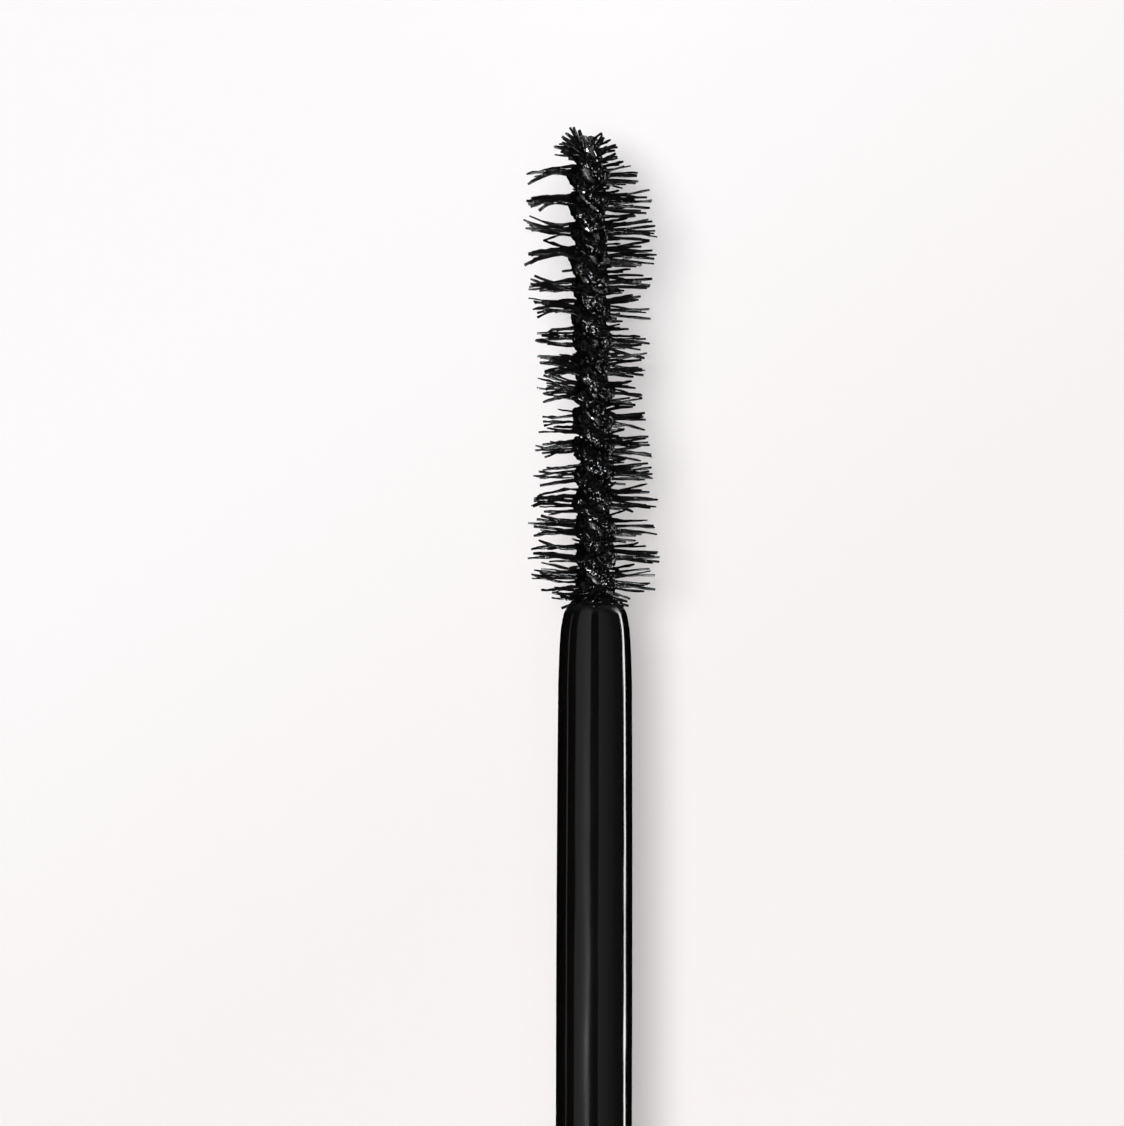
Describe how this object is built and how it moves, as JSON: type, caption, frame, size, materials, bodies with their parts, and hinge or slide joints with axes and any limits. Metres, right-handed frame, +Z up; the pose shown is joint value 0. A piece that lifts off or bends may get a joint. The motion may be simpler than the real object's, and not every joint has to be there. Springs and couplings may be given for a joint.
{
  "type": "mascara tube",
  "caption": "Round screw-cap mascara lying open in line: cap with rod and twisted-wire brush, drawn out of its threaded tube with wiper and paste.",
  "frame": {"origin": "middle of the length of the drawn-out layout, on the surface it lies on", "axes": "+X along the common axis from the cap's closed end to the tube's base, +Z up"},
  "size_m": [0.2232, 0.017, 0.0169],
  "materials": {
    "cap_black": "high-gloss black injection moulding",
    "trim_metal": "satin gunmetal anodised, turned",
    "liner_white": "natural white polypropylene",
    "washer_white": "soft white gasket",
    "rod_black": "glossy black moulded stem",
    "brush_wire": "dark twisted wire, wet with mascara",
    "bristle_black": "black nylon fibres, clumped with mascara",
    "sleeve_black": "high-gloss black tube",
    "bottle_black": "satin black blow moulding",
    "wiper_clear": "soft translucent insert",
    "formula_black": "wet black paste"
  },
  "bodies": {
    "tube": {"tube_sleeve": "sleeve_black", "shoulder_collar": "trim_metal", "bottle": "bottle_black", "wiper": "wiper_clear", "formula": "formula_black", "base_plug": "sleeve_black"},
    "washer": {"seal_washer": "washer_white"},
    "wand": {"cap_shell": "cap_black", "cap_end_disc": "trim_metal", "cap_liner": "liner_white", "rod": "rod_black", "brush_core": "brush_wire", "brush_bristles": "bristle_black"}
  },
  "joints": [
    {"name": "pull_out", "type": "slide", "parent": "tube", "child": "washer", "axis": [-1, 0, 0], "range_m": [-0.0972, 0], "deforming": ["brush_bristles"]},
    {"name": "unscrew", "type": "hinge", "parent": "washer", "child": "wand", "pos_m": [-0.0656, 0, 0.00846], "axis": [1, 0, 0], "range_deg": [0, 540]}
  ]
}
